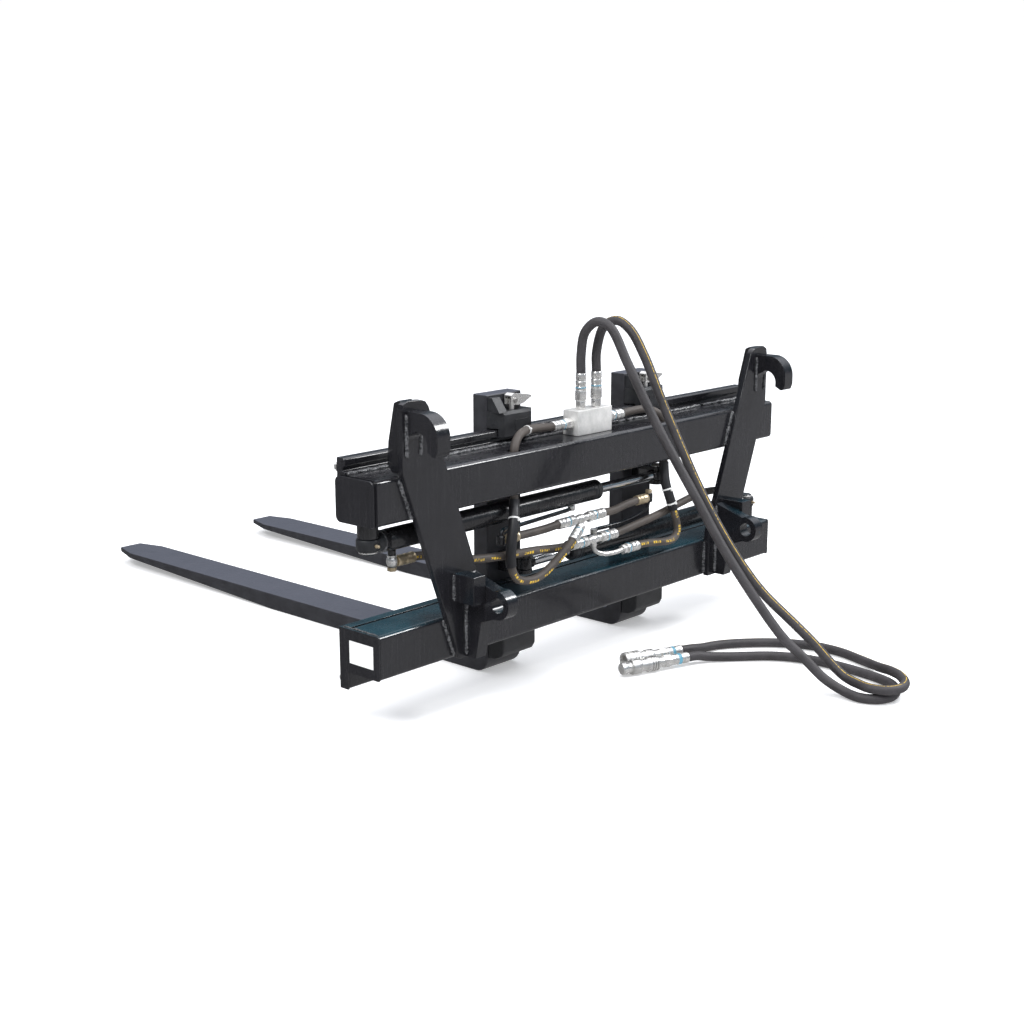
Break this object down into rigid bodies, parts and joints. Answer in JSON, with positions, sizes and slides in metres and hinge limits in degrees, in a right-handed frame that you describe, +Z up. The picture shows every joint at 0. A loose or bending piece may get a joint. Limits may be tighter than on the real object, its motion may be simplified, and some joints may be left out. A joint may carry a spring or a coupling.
{
  "type": "pallet fork attachment",
  "caption": "hydraulic fork positioner: two sliding forks on a two-beam frame, moved by two cylinders, with hook-on mounting plates and two free supply hoses",
  "frame": {"origin": "on the floor under the middle of the frame and forks, the free hoses not counted", "axes": "+X along the beams, +Y towards the fork tips, +Z up"},
  "size_m": [1.5, 2.437, 0.849],
  "materials": {
    "frame_paint": "gloss black enamel over steel",
    "fork_paint": "satin black paint over forged steel",
    "cast_paint": "black paint over rough castings",
    "cylinder_paint": "gloss black enamel over tube",
    "rod_chrome": "hard chrome, polished",
    "zinc": "zinc plated, satin",
    "brass": "yellow passivated",
    "block_alloy": "machined, light grey",
    "hose_rubber": "wrapped rubber cover, matt",
    "label_white": "blank white label",
    "tie_white": "white nylon"
  },
  "bodies": {
    "frame": {"lower_beam_tube": "frame_paint", "upper_beam_tube": "frame_paint", "lower_fork_bar": "frame_paint", "upper_fork_bar": "frame_paint", "end_cap_upper_left": "frame_paint", "end_cap_upper_right": "frame_paint", "end_cap_lower_left": "frame_paint", "end_cap_lower_right": "frame_paint", "blank_label": "label_white", "side_plate_left": "frame_paint", "side_plate_right": "frame_paint", "hook_left": "frame_paint", "hook_right": "frame_paint", "rib_left": "frame_paint", "rib_right": "frame_paint", "lug_left": "frame_paint", "lug_right": "frame_paint", "stop_block_left": "frame_paint", "stop_block_right": "frame_paint", "anchor_pin_upper": "cylinder_paint", "anchor_pin_lower": "cylinder_paint", "base_eye_upper": "cylinder_paint", "base_eye_lower": "cylinder_paint", "barrel_upper": "cylinder_paint", "barrel_lower": "cylinder_paint", "gland_upper": "cylinder_paint", "gland_lower": "cylinder_paint", "manifold_block": "block_alloy", "manifold_adapter_a": "zinc", "manifold_adapter_b": "zinc", "tee_upper": "zinc", "tee_lower": "zinc", "base_banjo_upper": "zinc", "base_banjo_lower": "zinc", "rod_port_pipe_upper": "cylinder_paint", "rod_port_pipe_lower": "cylinder_paint", "base_hose_upper": "hose_rubber", "base_hose_lower": "hose_rubber", "rod_hose_upper": "hose_rubber", "rod_hose_lower": "hose_rubber", "transfer_hose_left": "hose_rubber", "transfer_hose_right": "hose_rubber", "main_hose_a": "hose_rubber", "main_hose_b": "hose_rubber", "coupler_female": "zinc", "coupler_male": "zinc"},
    "left_fork": {"fork_left": "fork_paint", "top_hook_left": "cast_paint", "lower_hook_left": "cast_paint", "rod_clevis_left": "frame_paint", "piston_rod_lower": "rod_chrome"},
    "right_fork": {"fork_right": "fork_paint", "top_hook_right": "cast_paint", "lower_hook_right": "cast_paint", "rod_clevis_right": "frame_paint", "piston_rod_upper": "rod_chrome"},
    "left_latch_pin": {"latch_pin_left": "zinc"},
    "left_latch_lever": {"latch_lever_left": "zinc"},
    "right_latch_pin": {"latch_pin_right": "zinc"},
    "right_latch_lever": {"latch_lever_right": "zinc"}
  },
  "joints": [
    {"name": "left_fork_slide", "type": "slide", "parent": "frame", "child": "left_fork", "axis": [1, 0, 0], "range_m": [-0.44, 0.13]},
    {"name": "right_fork_slide", "type": "slide", "parent": "frame", "child": "right_fork", "axis": [1, 0, 0], "range_m": [-0.21, 0.36]},
    {"name": "left_latch_lift", "type": "slide", "parent": "left_fork", "child": "left_latch_pin", "axis": [0, 0, 1], "range_m": [0, 0.015]},
    {"name": "left_latch_tilt", "type": "hinge", "parent": "left_latch_pin", "child": "left_latch_lever", "pos_m": [-0.21, -0.67495, 0.664], "axis": [0, -1, 0], "range_deg": [0, 60]},
    {"name": "right_latch_lift", "type": "slide", "parent": "right_fork", "child": "right_latch_pin", "axis": [0, 0, 1], "range_m": [0, 0.015]},
    {"name": "right_latch_tilt", "type": "hinge", "parent": "right_latch_pin", "child": "right_latch_lever", "pos_m": [0.308, -0.67495, 0.664], "axis": [0, -1, 0], "range_deg": [0, 60]}
  ],
  "couplings": [
    {"joint": "left_latch_lift", "follows": "left_latch_tilt", "m_per_rad": 0.0143},
    {"joint": "right_latch_lift", "follows": "right_latch_tilt", "m_per_rad": 0.0143}
  ]
}
